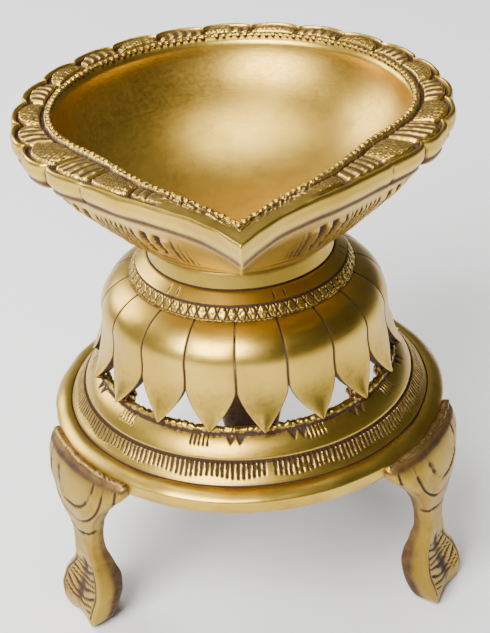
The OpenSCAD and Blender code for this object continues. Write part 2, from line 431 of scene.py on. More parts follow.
class Sock:
    """A shader value that can be written in sums, with plain numbers or other values."""

    def __init__(self, tree: bpy.types.NodeTree, socket: bpy.types.NodeSocket) -> None:
        """Wraps one output socket of a tree."""
        self.tree, self.socket = tree, socket

    def math(self, operation: str, *others: "Sock | float", clamp: bool = False,
             first: bool = True) -> "Sock":
        """Adds a Math node.

        Args:
            operation: The node's operation.
            others: Its other values.
            clamp: Whether the result stays between 0 and 1.
            first: Whether this value comes before the others.

        Returns:
            The node's result.
        """
        node = self.tree.nodes.new("ShaderNodeMath")
        node.operation, node.use_clamp = operation, clamp
        values = [self, *others] if first else [*others, self]
        for slot, value in zip(node.inputs, values):
            if isinstance(value, Sock):
                self.tree.links.new(value.socket, slot)
            else:
                slot.default_value = value
        return Sock(self.tree, node.outputs[0])

    def __add__(self, other: "Sock | float") -> "Sock":
        """self + other."""
        return self.math("ADD", other)

    __radd__ = __add__

    def __sub__(self, other: "Sock | float") -> "Sock":
        """self - other."""
        return self.math("SUBTRACT", other)

    def __rsub__(self, other: float) -> "Sock":
        """other - self."""
        return self.math("SUBTRACT", other, first=False)

    def __mul__(self, other: "Sock | float") -> "Sock":
        """self * other."""
        return self.math("MULTIPLY", other)

    __rmul__ = __mul__

    def clamp(self) -> "Sock":
        """The value kept between 0 and 1."""
        return self.math("ADD", 0.0, clamp=True)

    def step(self, low: float, high: float) -> "Sock":
        """0 below low, 1 above high, and a straight slope between."""
        return ((self - low) * (1 / (high - low))).clamp()


class Recipe:
    """A new material and the nodes that make it."""

    def __init__(self, name: str) -> None:
        """Starts a material with an empty tree, a shader and an output."""
        self.material = bpy.data.materials.new(name)
        self.material.use_nodes = True
        self.tree = self.material.node_tree
        self.tree.nodes.clear()
        self.shader = self.tree.nodes.new("ShaderNodeBsdfPrincipled")
        output = self.tree.nodes.new("ShaderNodeOutputMaterial")
        self.tree.links.new(self.shader.outputs[0], output.inputs[0])
        self.place = self.node("ShaderNodeTexCoord", output="Object")

    def node(self, kind: str, settings: dict[str, object] | None = None, output: str | int = 0,
             **values: object) -> Sock:
        """Adds one node.

        Args:
            kind: The node's type.
            settings: Its properties, set before its values.
            output: The output that is wanted.
            values: The node's values or links, by socket name with _ for spaces.

        Returns:
            The wanted output.
        """
        node = self.tree.nodes.new(kind)
        for name, value in (settings or {}).items():
            setattr(node, name, value)
        for name, value in values.items():
            slots = [s for s in node.inputs if s.name == name.replace("_", " ") and s.enabled]
            if isinstance(value, Sock):
                self.tree.links.new(value.socket, slots[0])
            else:
                slots[0].default_value = value
        return Sock(self.tree, node.outputs[output])

    def noise(self, scale: float, detail: float = 3.0, roughness: float = 0.55,
              spot: Sock | None = None) -> Sock:
        """A cloud of values round 0.5, with so many waves in a metre."""
        return self.node("ShaderNodeTexNoise", Vector=spot or self.place, Scale=scale, Detail=detail,
                         Roughness=roughness)

    def stretched(self, x: float, y: float, z: float) -> Sock:
        """The object's coordinates, with each axis scaled."""
        return self.node("ShaderNodeMapping", Vector=self.place, Scale=(x, y, z))

    def attribute(self, name: str) -> Sock:
        """A number that was stored on the mesh."""
        return self.node("ShaderNodeAttribute", {"attribute_name": name}, output="Fac")

    def mix(self, share: Sock, low: "Sock | tuple", high: "Sock | tuple") -> Sock:
        """A blend of two colours by a share."""
        return self.node("ShaderNodeMix", {"data_type": "RGBA"}, output=2, Factor=share,
                         A=low if isinstance(low, Sock) else (*low, 1.0),
                         B=high if isinstance(high, Sock) else (*high, 1.0))

    def feed(self, slot: str, value: "Sock | float | tuple") -> None:
        """Links or sets one of the shader's own sockets."""
        if isinstance(value, Sock):
            self.tree.links.new(value.socket, self.shader.inputs[slot])
        else:
            self.shader.inputs[slot].default_value = value


class Brushing(Enum):
    """The way in which a surface was polished."""

    SATIN = "satin"
    TURNED = "turned"
    CAST = "cast"


@dataclass(frozen=True)
class Brass:
    """A finish of brass with brown patina in its hollows, and painted shade in the same dark colour where a
    piece stores it; ridges are lightened, partly as wear and partly as a painted highlight.
    """

    name: str
    light: tuple[float, float, float] = (0.68, 0.45, 0.075)
    deep: tuple[float, float, float] = (0.50, 0.31, 0.042)
    # Dark colour for patina, and for painted shade where a piece stores it
    patina_and_shade: tuple[float, float, float] = (0.040, 0.016, 0.005)
    stain: tuple[float, float, float] = (0.20, 0.10, 0.022)
    rough: float = 0.3
    pits: float = 0.25
    stained: float = 0.35
    bump: float = 0.00006
    brushing: Brushing = Brushing.SATIN

    def make(self) -> bpy.types.Material:
        """Builds the material."""
        r = Recipe(self.name)
        patina_and_shade = r.attribute("patina_and_shade")
        wear_and_highlight = r.attribute("wear_and_highlight")
        clouds = r.noise(38, 3)
        blotch = r.noise(120, 4, 0.6)
        fine = r.noise(900, 3, 0.6)
        specks = r.noise(420, 2, 0.5)
        lines = {
            Brushing.SATIN: r.noise(1.0, 3, 0.6, r.stretched(240, 240, 2600)),
            Brushing.TURNED: r.noise(1.0, 2, 0.5, r.stretched(120, 120, 5200)),
            Brushing.CAST: r.noise(620, 4, 0.65),
        }[self.brushing]
        warm = r.mix(clouds.step(0.38, 0.66), self.light, self.deep)
        toned = r.mix((blotch.step(0.52, 0.74) * self.stained).clamp(), warm, self.stain)
        spots = specks.step(0.70, 0.76) * self.pits
        # Darkens by the stored patina, which on some pieces also holds painted shade, and by pits
        patina_and_shade_mask = ((patina_and_shade * (0.65 + fine * 0.7)).step(0.12, 0.72) + spots).clamp()
        # Lightens ridges towards the light brass: partly real wear, partly a painted highlight on the edges
        ground = r.mix((wear_and_highlight * 0.55).clamp(), toned, self.light)
        halo = r.mix((patina_and_shade * 1.6).clamp(), ground, self.stain)
        r.feed("Base Color", r.mix(patina_and_shade_mask, halo, self.patina_and_shade))
        r.feed("Metallic", 1.0 - 0.75 * patina_and_shade_mask)
        gloss = self.rough + (fine - 0.5) * 0.12 + (lines - 0.5) * 0.14 + (blotch - 0.5) * 0.12
        r.feed("Roughness", (gloss + patina_and_shade_mask * 0.35 - wear_and_highlight * 0.06).math("MAXIMUM", 0.08))
        height = lines * 0.5 + fine * 0.35 - spots * 1.2 + patina_and_shade * fine * 1.6
        bump = r.node("ShaderNodeBump", output="Normal", Strength=0.55, Distance=self.bump, Height=height)
        r.feed("Normal", bump)
        return r.material


BOWL_BRASS = Brass("bowl_brass", rough=0.36, stained=0.22, pits=0.04)
SATIN_BRASS = Brass("satin_brass", light=(0.64, 0.43, 0.075), rough=0.33, stained=0.22, pits=0.08)
CHASED_BRASS = Brass("chased_brass", light=(0.58, 0.39, 0.065), rough=0.35, stained=0.35)
CAST_BRASS = Brass("cast_brass", light=(0.44, 0.29, 0.05), deep=(0.32, 0.20, 0.03), rough=0.40,
                   stained=0.45, brushing=Brushing.CAST,
                   bump=0.00012)
TURNED_BRASS = Brass("turned_brass", rough=0.24, brushing=Brushing.TURNED, pits=0.1)
DARK_BRASS = Brass("dark_brass", light=(0.36, 0.24, 0.10), deep=(0.22, 0.13, 0.05), rough=0.5, stained=0.8)
BRAZE = Brass("braze", light=(0.44, 0.29, 0.11), deep=(0.26, 0.15, 0.05), rough=0.5, stained=0.7,
              brushing=Brushing.CAST, bump=0.0002)


class Shop:
    """Keeps the finished pieces' materials, so that each finish is made once."""

    def __init__(self) -> None:
        """Starts with no materials made."""
        self.made: dict[str, bpy.types.Material] = {}

    def dress(self, work: Work, finish: Brass, body: str, *nodes: str) -> None:
        """Gives a piece its finish, its body and the CAD nodes that it stands for.

        Args:
            work: The finished piece.
            finish: Its finish, whose name the material takes.
            body: The CAD body that it rides on.
            nodes: The CAD nodes that it replaces.
        """
        if finish.name not in self.made:
            self.made[finish.name] = finish.make()
        work.mesh.materials.clear()
        work.mesh.materials.append(self.made[finish.name])
        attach(work.obj, body)
        if nodes:
            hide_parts(*nodes)
        LOG.info("%s: %d faces on %s", work.obj.name, len(work.mesh.polygons), body)


# ---- Bowl ----


@dataclass
class Bowl:
    """The pointed oil bowl: a smooth cup, a carved rim and a row of beads."""

    radius: float = 52.0
    spout: float = 18.0
    back: float = 4.0
    rim_width: float = 9.0
    wall: float = 6.4
    foot: float = 24.0
    floor: float = 4.0
    petals: int = 25
    scallop: float = 0.9
    ledge: float = 4.6
    bead: float = 0.86
    bead_pitch: float = 1.84
    roundness: float = 2.3
    fullness: float = 0.56

    @property
    def centre(self) -> float:
        """Where the round part's middle stands."""
        return AXIS_Y + self.back

    def rim(self, t: Array) -> Array:
        """The rim's outer radius at t degrees from the spout."""
        return self.radius + self.spout * np.exp(-t / 9) - 2 * np.exp(-(((t - 42) / 18) ** 2))

    def lobes(self, t: Array) -> Array:
        """The scallops' share of that radius."""
        fade = np.clip((t - 40) / 20, 0, 1)
        return self.scallop * fade * (np.abs(np.cos(np.radians(180 - t) * self.petals / 2)) - 0.6)

    def mouth(self, t: Array) -> Array:
        """The radius of the rim's inner edge."""
        return (self.radius - self.rim_width - 1.5 * np.cos(np.radians(t))
                + (self.spout - 0.5) * np.exp(-t / 13) - 4.8 * np.exp(-(((t - 52) / 24) ** 2)))

    def at(self, turn_deg: Array, radius: Array, height: Array | float, centre: float | None = None) -> Array:
        """Points at a turn from the spout in degrees, a radius and a height."""
        middle = self.centre if centre is None else centre
        return place(np.radians(turn_deg), radius + 0 * turn_deg, height, middle)

    def cup(self) -> Work:
        """The cup: foot, underside with its cut leaves, and the smooth inside."""
        under = np.linspace(0, 1, 46)
        inside = np.concatenate([[1.0, 0.993, 0.983, 0.97, 0.95, 0.92, 0.89], np.linspace(0.85, 0.08, 20)])
        base_radii = (0, 8, 16, 21)
        section = [(float(r), BOWL_FOOT) for r in base_radii]
        section += [(self.foot + (48 - self.foot) * s, BOWL_FOOT + s * 23.4) for s in under]
        section += [(47.0, RIM_TOP - 4.0), (45.5, RIM_TOP - 2.0)]
        section += [(44 * p, RIM_TOP - 25.8 * (1 - p**self.roundness) ** (1 / self.roundness)) for p in inside]
        section += [(0.0, BOWL_FOOT + self.floor)]
        work = turn("bowl_cup", section, 180, 3, self.centre, closed=False)
        row = work.stored("row")
        turn_deg = np.degrees(bearing(work.co, self.centre))
        t = np.abs(turn_deg)
        out = work.co.copy()
        first = len(base_radii)
        base = row < first
        out[base] = self.at(turn_deg, np.interp(row, range(first), base_radii), BOWL_FOOT, AXIS_Y)[base]
        s = np.clip((row - first) / (len(under) - 1), 0, 1)
        low = self.at(turn_deg, self.foot, BOWL_FOOT, AXIS_Y)
        high = self.at(turn_deg, self.rim(t) - self.ledge, BOWL_FOOT)
        spread = (s**0.9 + 0.08 * np.sin(np.pi * s * s))[:, None]
        skirt = low + (high - low) * spread
        skirt[:, 2] = BOWL_FOOT + s * (RIM_TOP - BOWL_FOOT - self.wall)
        k = first + len(under)
        below = (row >= first) & (row < k)
        out[below] = skirt[below]
        ends = self.at(turn_deg, self.rim(t) - self.ledge - 0.8, RIM_TOP - 4.2)
        out[row == k] = ends[row == k]
        lip = self.at(turn_deg, self.mouth(t) + 0.9, RIM_TOP - 1.6)
        out[row == k + 1] = lip[row == k + 1]
        share = np.interp(row, np.arange(k + 2, len(section)), [*inside, 0.0])
        round_r = self.radius - self.rim_width - 1
        radius = share * ((1 - share**2) * round_r + share**2 * self.mouth(t))
        lip_z = RIM_TOP - 0.9
        depth = lip_z - (lip_z - BOWL_FOOT - self.floor) * (1 - share**self.roundness) ** self.fullness
        hollow = self.at(turn_deg, radius, depth)
        inner = row >= k + 2
        out[inner] = hollow[inner]
        work.co = out
        work.write()
        cut, dirt_and_shade = self.leaves(turn_deg, s, below)
        work.sculpt(cut)
        near_edge = smooth(0.985, 1.0, share) * inner
        work.weather(dirt_and_shade + 0.3 * near_edge, 0.7)
        work.smooth_shade()
        return work

    def leaves(self, turn_deg: Array, s: Array, below: Array) -> tuple[Array, Array]:
        """The cuts on the underside: deep slots and fine hatching by turns.

        Args:
            turn_deg: Each point's turn from the spout.
            s: Each point's share of the way up the underside.
            below: Which points are on the underside.

        Returns:
            How far each point moves outwards, and its patina.
        """
        pitch = 360 / self.petals
        side = np.sign(turn_deg)
        lean = turn_deg + side * 9 * (s - 0.5)
        sector = lean / pitch + 0.5
        number = np.floor(sector)
        u = sector - number
        slots = (number % 2) == 0
        window = smooth(0.16, 0.24, s) * smooth(0.80, 0.70, s)
        arch = smooth(0.10, 0.16, u) * smooth(0.93, 0.87, u)
        tooth = np.abs(((u * 3) % 1) - 0.5) * 2
        slot = smooth(0.38, 0.64, tooth) * smooth(0.30 + 0.08 * np.sin(number * 2.1), 0.40, s)
        fine = smooth(0.35, 0.8, np.abs(((u * 7) % 1) - 0.5) * 2)
        frame_line = ridge(u, 0.07) + ridge(u - 1, 0.07)
        front = smooth(14, 24, np.abs(turn_deg))
        deep = np.where(slots, slot * arch * 0.75, fine * 0.35 * arch) * window
        deep = (deep + 0.5 * frame_line * window) * front
        lower = ridge(s - 0.13, 0.03) * 0.35
        lumps = 0.08 * grain(np.stack([turn_deg, s * 40, number * 0], 1), 4, 3) * window * front
        lift = (-deep - lower + 0.45 * window * front * (1 - deep) + lumps) * below
        dirt_and_shade = (np.clip(deep * 2.1, 0, 1) + lower * 1.4 + 0.25 * window * front
                + 0.9 * smooth(0.08, 0.0, s)) * below
        return lift, np.clip(dirt_and_shade, 0, 1)

    def carved_rim(self) -> Work:
        """The rim: scalloped outer wall, plain border, petals in relief and the grooves between."""
        wall = np.linspace(RIM_TOP - self.wall, RIM_TOP - 1.0, 11)
        across = np.linspace(0, 1, 44)
        section = [(46.0, RIM_TOP - 3.4), (49.0, RIM_TOP - self.wall + 0.3)]
        section += [(52.0, z) for z in wall] + [(51.8, RIM_TOP - 0.4)]
        section += [(51.4 - 8.4 * a, RIM_TOP - 0.1) for a in across]
        section += [(43.2, RIM_TOP - 1.2), (43.6, RIM_TOP - 2.6)]
        rows = len(section)
        work = turn("bowl_rim", section, 240, 5, self.centre)
        row = work.stored("row")
        turn_deg = np.degrees(bearing(work.co, self.centre))
        t = np.abs(turn_deg)
        outer = self.rim(t) + self.lobes(t)
        inner = self.mouth(t)
        first, top = 2, 2 + len(wall) + 1
        height = np.interp(row, range(rows), [p[1] for p in section])
        up = np.clip((height - (RIM_TOP - self.wall)) / self.wall, 0, 1)
        radius = outer - 1.3 * smooth(0.5, 0.05, up)
        radius = np.where(row == 0, outer - 6.5, np.where(row == 1, outer - 3.8, radius))
        radius = np.where(row == top - 1, outer - 0.25, radius)
        a = np.interp(row, np.arange(top, top + len(across)), across)
        flat = (row >= top) & (row < top + len(across))
        width = outer - 0.7 - inner
        radius = np.where(flat, outer - 0.7 - a * width, radius)
        radius = np.where(row == rows - 2, inner + 0.25, np.where(row == rows - 1, inner + 0.9, radius))
        work.co = self.at(turn_deg, radius, height)
        work.write()
        relief, dirt_and_shade = self.relief(turn_deg, outer - radius, radius - inner)
        wave = 0.10 * grain(work.co, 9, 4)
        work.co[:, 2] = np.minimum(work.co[:, 2] + np.where(flat, relief, 0.0), RIM_TOP)
        side = (row >= first) & (row < top)
        crease = (1 - np.abs(np.cos(np.radians(180 - t) * self.petals / 2))) ** 5
        crease = crease * np.clip((t - 38) / 18, 0, 1)
        edge = smooth(2.2, 0.4, outer - radius) * (row >= top - 1)
        dent = np.where(side, -1.15 * crease - 0.12 + wave, -1.15 * crease * edge)
        a_rad = np.radians(turn_deg)
        work.co[:, 0] += dent * np.sin(a_rad)
        work.co[:, 1] -= dent * np.cos(a_rad)
        work.write()
        # Darker in the creases between lobes; the darkening towards the foot of the wall is painted shade
        # under the rim's overhang
        stain = crease * 0.95 * smooth(0.0, 0.7, 1 - up) + 0.45 * smooth(0.4, 0.0, up) + 0.10
        # Painted shade: the shelf under the rim and the lower edge inside the mouth are darkened
        shade_underneath = ((row <= 1) | (row >= rows - 1)) * 0.8
        work.weather(np.where(flat, dirt_and_shade, np.where(side, stain, 0)) + shade_underneath, 0.8, 1)
        work.smooth_shade()
        return work

    def relief(self, turn_deg: Array, out: Array, into: Array) -> tuple[Array, Array]:
        """The carving on the rim's flat top.

        Args:
            turn_deg: Each point's turn from the spout.
            out: Each point's distance from the outer edge.
            into: Each point's distance from the mouth.

        Returns:
            How high each point stands above the flat, and its patina.
        """
        t = np.abs(turn_deg)
        pitch = 360 / self.petals
        back = turn_deg - 180
        number = np.round(back / pitch)
        a = (back - number * pitch) / (pitch / 2)
        ribbed = (number % 2) == 0
        live = smooth(17, 24, t)
        wide = out + into
        start = 1.65 + 2.6 * (1 - np.sqrt(np.clip(1 - a * a, 0, 1))) + 0.9 * smooth(34, 18, t)
        stop = 2.45
        span = np.maximum(wide - start - stop, 0.5)
        b = (out - start) / span
        inside = smooth(-0.02, 0.10, b) * smooth(1.04, 0.94, b) * smooth(0.99, 0.88, np.abs(a))
        dome = np.sqrt(np.clip(1 - 0.92 * a * a, 0, 1)) * (0.55 + 0.45 * np.cos((b - 0.42) * 2.5))
        places = self.at(turn_deg, self.radius - out, 0 * t)
        ribs = np.cos(a * np.pi * 5.0 + 0.5 * np.sin(b * 3)) * 0.5 + 0.5
        stipple = grain(places, 0.75, 11)
        petal = -1.2 + 1.25 * dome + 0.05 * grain(places, 2.2, 13)
        petal = petal - np.where(ribbed, (1 - ribs) * 0.36, 0.06 + 0.07 * stipple)
        ground = -1.75 + 0.14 * grain(places, 1.3, 5)
        border = -0.12 - 0.25 * smooth(0.7, 0.0, out) + 0.05 * grain(places, 7, 6)
        fence = smooth(1.15, 1.55, out)
        lip = -0.45 + 0.1 * grain(places, 1.1, 7)
        middle = ground + (petal - ground) * inside
        height = border + (middle - border) * fence
        at_lip = smooth(1.75, 1.45, into)
        height = height + (lip - height) * at_lip
        plain = 1 - live
        beak = border - 0.5 * smooth(3.6, 2.6, into)
        beak = beak + 0.34 * grain(places, 1.3, 9) * smooth(5.5, 2.5, into)
        height = height * live + beak * plain
        dirt_and_shade = (1 - inside) * fence * (1 - at_lip) * 0.95
        dirt_and_shade = dirt_and_shade + inside * np.where(ribbed, (1 - ribs) ** 2 * 0.75, 0.10)
        dirt_and_shade = dirt_and_shade + at_lip * 0.55 + 0.25 * inside * (stipple > 0.3) * (1 - ribbed)
        dirt_and_shade = dirt_and_shade * live + plain * smooth(3.6, 2.2, into) * 0.7
        return height, np.clip(dirt_and_shade, 0, 1)

    def beads(self) -> Work:
        """The row of small beads round the mouth."""
        turns = np.linspace(-180, 180, 20001)
        line = self.at(turns, self.mouth(np.abs(turns)) + 0.55, RIM_TOP - 1.0)
        along = np.concatenate([[0], np.cumsum(np.linalg.norm(np.diff(line, axis=0), axis=1))])
        count = int(round(along[-1] / self.bead_pitch))
        Work.clear()
        bpy.ops.mesh.primitive_uv_sphere_add(segments=10, ring_count=6, radius=self.bead * MM)
        one = Work(bpy.context.object)
        one.co[:, 2] *= 0.95
        one.write()
        parts = []
        dice = np.random.RandomState(17)
        for i in range(count):
            spot = np.array([np.interp(along[-1] * (i + 0.5) / count, along, line[:, k]) for k in range(3)])
            size = dice.uniform(0.80, 1.04)
            bead = one.copy(f"bead_{i}")
            bead.co = bead.co * size + spot + dice.uniform(-0.10, 0.10, 3)
            bead.write()
            parts.append(bead)
        bpy.data.objects.remove(one.obj)
        work = join("bowl_beads", parts)
        worn = smooth(-0.1, 0.5, (work.co[:, 2] - (RIM_TOP - 1.0)) / self.bead)
        work.co[:, 2] = np.minimum(work.co[:, 2], RIM_TOP)
        work.write()
        work.weather(0.85 * (1 - worn), 0.0)
        work.smooth_shade()
        return work

    def build(self, shop: Shop) -> None:
        """Builds and dresses the bowl's pieces."""
        shop.dress(self.cup(), BOWL_BRASS, "bowl", "oil_bowl")
        shop.dress(self.carved_rim(), BOWL_BRASS, "bowl")
        shop.dress(self.beads(), BOWL_BRASS, "bowl")


# ---- Collar and screw ----


@dataclass
class Collar:
    """The stepped collar: a band of crosses, two lines and a plain neck."""

    radius: float = 27.6
    top: float = 21.8
    crosses: int = 70

    def build(self, shop: Shop) -> None:
        """Builds and dresses the collar."""
        height = COLLAR_TOP - DOME_TOP
        low = (self.radius, DOME_TOP)
        first = (self.radius - 1.6, DOME_TOP + 0.31 * height)
        second = (self.top + 1.4, DOME_TOP + 0.56 * height)
        base = even([low, (low[0], DOME_TOP + 0.5)], 0.25)
        band = even([(low[0], DOME_TOP + 0.5), first], 0.17)
        groove_1 = [(first[0] - r, first[1] + z) for r, z in ((0.35, 0.12), (0.42, 0.3), (0.2, 0.5))]
        plain = even([groove_1[-1], second], 0.4)
        groove_2 = [(second[0] - r, second[1] + z) for r, z in ((0.6, 0.1), (0.7, 0.3), (0.55, 0.5))]
        neck = even([groove_2[-1], (self.top, COLLAR_TOP - 0.7), (self.top - 0.35, COLLAR_TOP)], 0.45)
        close = [(7.5, COLLAR_TOP), (7.5, DOME_TOP)]
        skin = chain(base, band, groove_1, plain, groove_2, neck)
        section = skin + close
        work = turn("neck_collar_chased", section, 180, 5)
        row, turn_deg = true_up(work, section)
        b0, b1 = len(base) - 1, len(base) + len(band) - 2
        v = np.clip((row - b0) / (b1 - b0), 0, 1)
        on_band = (row >= b0) & (row <= b1)
        u = turn_deg * self.crosses / 360 + 0.12 * grain(np.stack([turn_deg, 0 * v, 0 * v], 1), 25, 2)
        one = np.abs(((u + v * 0.5) % 1) - 0.5)
        two = np.abs(((u - v * 0.5 + 0.5) % 1) - 0.5)
        cut = np.maximum(smooth(0.13, 0.03, one), smooth(0.13, 0.03, two))
        edge = np.maximum(smooth(0.12, 0.0, v), smooth(0.88, 1.0, v))
        rough = grain(work.co, 0.9, 12)
        deep = (np.maximum(cut * 0.30, edge * 0.22) + 0.05 * rough) * on_band
        foot = smooth(b0, 0, row) * (row <= b0)
        p0, p1 = b1 + len(groove_1), b1 + len(groove_1) + len(plain) - 1
        w = np.clip((row - p0) / max(p1 - p0, 1), 0, 1)
        spot = ((turn_deg + 11) % 61) - 30.5
        marks = (np.abs(np.abs(spot) - 3.1) < 1.1) & (row >= p0) & (row <= p1)
        curl = smooth(0.42, 0.15, np.hypot((np.abs(spot) - 3.1) / 1.6, (w - 0.45) * 0.9)) * marks
        work.sculpt(-deep - 0.16 * curl - foot * 0.15 * (1 + rough))
        lines = np.zeros(len(row))
        for k, many in ((b1, len(groove_1)), (p1, len(groove_2))):
            lines = np.maximum(lines, ((row > k) & (row < k + many)) * 1.0)
        dirt_and_shade = (cut + edge) * 0.7 * on_band + lines * 0.9 + foot * 0.8 + 0.55 * curl
        work.weather(np.clip(dirt_and_shade, 0, 1), 0.8, 1)
        work.smooth_shade(50)
        shop.dress(work, CHASED_BRASS, "stand", "neck_collar")


@dataclass
class Screw:
    """The bush in the stand, the stud in the bowl's foot and the washer between collar and bowl."""

    stud: float = 4.0
    clearance: float = 0.05
    pitch: float = 1.25
    bush: float = 7.5
    flange: float = 11.5
    washer: float = 19.0

    def bush_piece(self) -> Work:
        """The flanged bush, with its corners broken."""
        low, high = (corner[2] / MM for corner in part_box("neck_bush"))
        bore = self.stud + self.clearance
        section = [(bore, low + 0.4), (bore + 0.4, low), (self.flange - 0.4, low), (self.flange, low + 0.4),
                   (self.flange, low + 1.6), (self.flange - 0.4, low + 2), (self.bush + 0.3, low + 2),
                   (self.bush, low + 2.3), (self.bush, high), (bore + 0.4, high), (bore, high - 0.4)]
        rim = [(bore, z) for z in np.linspace(high - 0.8, low + 0.8, 24)]
        work = turn("neck_bush_turned", section + rim, 72, 0)
        work.weather(0.15, 1.0)
        work.smooth_shade(35)
        return work

    def stud_piece(self) -> Work:
        """The stud, with its thread cut as a helix."""
        low, high = (corner[2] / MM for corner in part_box("bowl_stud"))
        skin = [(self.stud, float(z)) for z in np.linspace(low + 0.5, high, 90)]
        section = [(0.0, low), (self.stud - 0.7, low)] + skin + [(0.0, high)]
        work = turn("bowl_stud_threaded", section, 96, 0, closed=False)
        radius = reach(work.co)
        turns = (work.co[:, 2] / self.pitch - bearing(work.co) / (2 * math.pi)) % 1
        cut = 0.62 * (np.abs(turns - 0.5) * 2) * (radius > self.stud - 0.1)
        scale = np.where(radius > 0.5, (radius - cut) / np.maximum(radius, 0.5), 1)
        work.co[:, 0] *= scale
        work.co[:, 1] = AXIS_Y + (work.co[:, 1] - AXIS_Y) * scale
        work.write()
        work.weather(np.clip(cut * 0.5, 0, 1), 0.6, 1)
        work.smooth_shade(60)
        return work

    def washer_piece(self) -> Work:
        """The dark washer, with rounded edges."""
        low, high = (corner[2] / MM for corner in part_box("seat_washer"))
        bore = self.stud + 0.4
        section = chain([(bore, high - 0.2), (bore, low + 0.2), (bore + 0.2, low)],
                        even([(bore + 0.3, low), (self.washer - 0.4, low)], 2.0),
                        bend((self.washer - 0.4, low), (self.washer + 0.1, low), (self.washer + 0.1, high),
                             (self.washer - 0.4, high), 6),
                        even([(self.washer - 0.5, high), (bore + 0.2, high)], 2.0))
        work = turn("seat_washer_worn", section, 120, 0)
        work.weather(0.35 + 0.25 * grain(work.co, 3, 21), 1.0)
        work.smooth_shade(40)
        return work

    def build(self, shop: Shop) -> None:
        """Builds and dresses the three pieces."""
        shop.dress(self.bush_piece(), TURNED_BRASS, "stand", "neck_bush")
        shop.dress(self.stud_piece(), TURNED_BRASS, "bowl", "bowl_stud")
        shop.dress(self.washer_piece(), DARK_BRASS, "washer", "seat_washer")


# ---- Lotus dome ----


